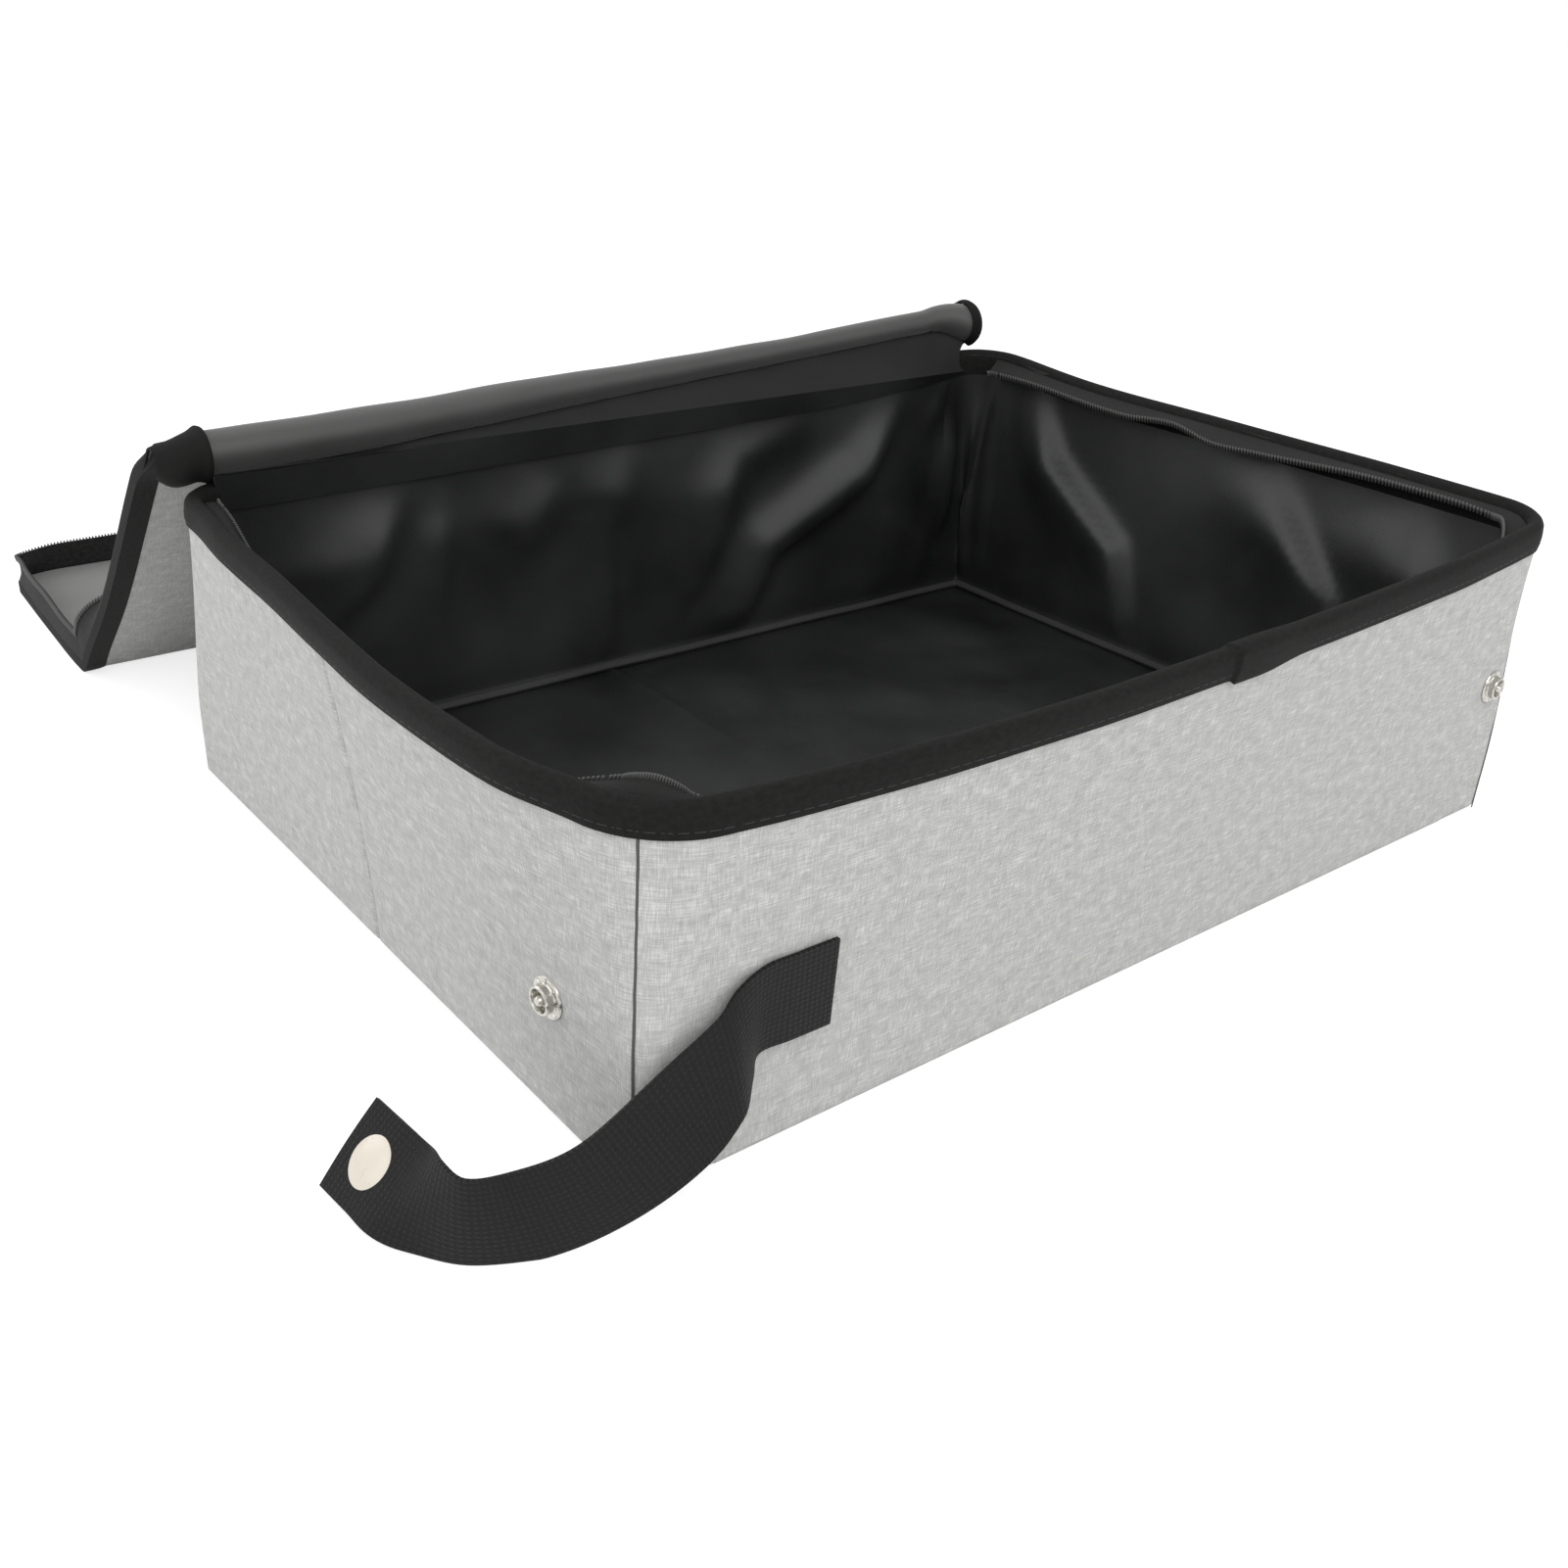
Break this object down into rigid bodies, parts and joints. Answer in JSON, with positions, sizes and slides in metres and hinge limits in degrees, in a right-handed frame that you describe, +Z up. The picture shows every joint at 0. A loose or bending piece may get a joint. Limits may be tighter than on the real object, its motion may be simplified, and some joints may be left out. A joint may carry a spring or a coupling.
{
  "type": "foldable litter box",
  "caption": "Open fabric tray with stiffened folding walls, a folding floor, a zip-on lid folded back, and a snap strap.",
  "frame": {"origin": "middle of the tray's footprint on the ground", "axes": "+Z up, X along the long walls, the strap's wall faces -Y, the lid lies open at +Y"},
  "size_m": [0.4636, 0.5629, 0.1411],
  "materials": {
    "grey_fabric": "heathered linen-look weave",
    "black_lining": "coated, slightly glossy",
    "black_binding": "matte ribbed tape",
    "zip_tape": "matte woven tape",
    "webbing": "coarse woven",
    "stiffening_board": "closed-cell sheet",
    "snap_metal": "polished",
    "cap_enamel": "glossy",
    "slider_metal": "semi-gloss"
  },
  "bodies": {
    "back": {"back_shell": "grey_fabric", "back_boards": "stiffening_board", "back_lining": "black_lining", "back_binding": "black_binding", "back_corner_seams": "black_binding", "lid_hinge_strip": "black_lining"},
    "front": {"front_shell": "grey_fabric", "front_boards": "stiffening_board", "front_lining": "black_lining", "front_binding": "black_binding", "front_zip_tape": "zip_tape", "front_corner_seams": "black_binding", "front_stud": "snap_metal", "front_stud_backing": "snap_metal", "strap_root": "webbing"},
    "left_back": {"left_back_shell": "grey_fabric", "left_back_board": "stiffening_board", "left_back_lining": "black_lining", "left_back_binding": "black_binding", "left_back_zip_tape": "zip_tape"},
    "left_front": {"left_front_shell": "grey_fabric", "left_front_board": "stiffening_board", "left_front_lining": "black_lining", "left_front_binding": "black_binding", "left_front_zip_tape": "zip_tape", "left_stud": "snap_metal", "left_stud_backing": "snap_metal"},
    "right_back": {"right_back_shell": "grey_fabric", "right_back_board": "stiffening_board", "right_back_lining": "black_lining", "right_back_binding": "black_binding", "right_back_zip_tape": "zip_tape"},
    "right_front": {"right_front_shell": "grey_fabric", "right_front_board": "stiffening_board", "right_front_lining": "black_lining", "right_front_binding": "black_binding", "right_front_zip_tape": "zip_tape"},
    "right_corner": {"right_corner_tape": "black_binding"},
    "floor_back": {"floor_back_shell": "grey_fabric", "floor_back_board": "stiffening_board", "floor_back_lining": "black_lining"},
    "floor_front": {"floor_front_shell": "grey_fabric", "floor_front_board": "stiffening_board", "floor_front_lining": "black_lining"},
    "lid_inner": {"lid_inner_shell": "grey_fabric", "lid_inner_board": "stiffening_board", "lid_inner_lining": "black_lining", "lid_inner_bindings": "black_binding", "lid_inner_skirts": "zip_tape"},
    "lid_outer": {"lid_outer_shell": "grey_fabric", "lid_outer_board": "stiffening_board", "lid_outer_lining": "black_lining", "lid_outer_binding": "black_binding", "lid_outer_skirt": "zip_tape"},
    "strap_run": {"strap_run": "webbing"},
    "strap_end": {"strap_end": "webbing", "snap_cap": "cap_enamel", "snap_socket": "snap_metal"},
    "zip_slider": {"zip_slider": "slider_metal"},
    "zip_pull": {"zip_pull": "slider_metal"}
  },
  "joints": [
    {"name": "fold", "type": "hinge", "parent": "back", "child": "left_back", "pos_m": [-0.1925, 0.1425, 0], "axis": [0, 0, 1], "range_deg": [0, 84]},
    {"name": "left_crease", "type": "hinge", "parent": "left_back", "child": "left_front", "pos_m": [-0.201, 0, 0], "axis": [0, 0, -1], "range_deg": [0, 168]},
    {"name": "left_front_corner", "type": "hinge", "parent": "left_front", "child": "front", "pos_m": [-0.1925, -0.1425, 0], "axis": [0, 0, 1], "range_deg": [0, 84]},
    {"name": "right_back_corner", "type": "hinge", "parent": "back", "child": "right_back", "pos_m": [0.1925, 0.1425, 0], "axis": [0, 0, -1], "range_deg": [0, 84]},
    {"name": "right_crease", "type": "hinge", "parent": "right_back", "child": "right_front", "pos_m": [0.201, 0, 0], "axis": [0, 0, 1], "range_deg": [0, 168]},
    {"name": "right_front_corner", "type": "hinge", "parent": "front", "child": "right_corner", "pos_m": [0.1925, -0.1425, 0], "axis": [0, 0, 1], "range_deg": [0, 84]},
    {"name": "floor_back_seam", "type": "hinge", "parent": "back", "child": "floor_back", "pos_m": [0, 0.1425, 0], "axis": [1, 0, 0], "range_deg": [0, 84]},
    {"name": "floor_crease", "type": "hinge", "parent": "floor_back", "child": "floor_front", "pos_m": [0, 0, 0.0085], "axis": [-1, 0, 0], "range_deg": [0, 168]},
    {"name": "lid_hinge", "type": "hinge", "parent": "back", "child": "lid_inner", "pos_m": [0, 0.1514, 0.1335], "axis": [1, 0, 0], "range_deg": [0, 227]},
    {"name": "lid_crease", "type": "hinge", "parent": "lid_inner", "child": "lid_outer", "pos_m": [0, 0.27204, 0.0048], "axis": [-1, 0, 0], "range_deg": [0, 47.5]},
    {"name": "strap_hinge", "type": "hinge", "parent": "front", "child": "strap_run", "pos_m": [-0.1652, -0.1513, 0.046], "axis": [0, 0, 1], "range_deg": [0, 90]},
    {"name": "strap_curl", "type": "hinge", "parent": "strap_run", "child": "strap_end", "pos_m": [-0.2442, -0.1436, 0.013], "axis": [0, 0, 1], "range_deg": [-25, 50]},
    {"name": "zip_slide", "type": "slide", "parent": "front", "child": "zip_slider", "axis": [1, 0, 0], "range_m": [0, 0.076]},
    {"name": "pull_swing", "type": "hinge", "parent": "zip_slider", "child": "zip_pull", "pos_m": [-0.038, -0.14005, 0.0931], "axis": [1, 0, 0], "range_deg": [0, 75]}
  ],
  "couplings": [
    {"joint": "left_crease", "follows": "fold", "ratio": 2},
    {"joint": "left_front_corner", "follows": "fold", "ratio": 1},
    {"joint": "right_back_corner", "follows": "fold", "ratio": 1},
    {"joint": "right_crease", "follows": "fold", "ratio": 2},
    {"joint": "right_front_corner", "follows": "fold", "ratio": 1},
    {"joint": "floor_back_seam", "follows": "fold", "ratio": 1},
    {"joint": "floor_crease", "follows": "fold", "ratio": 2},
    {"joint": "lid_crease", "follows": "lid_hinge", "ratio": 0.20925}
  ]
}
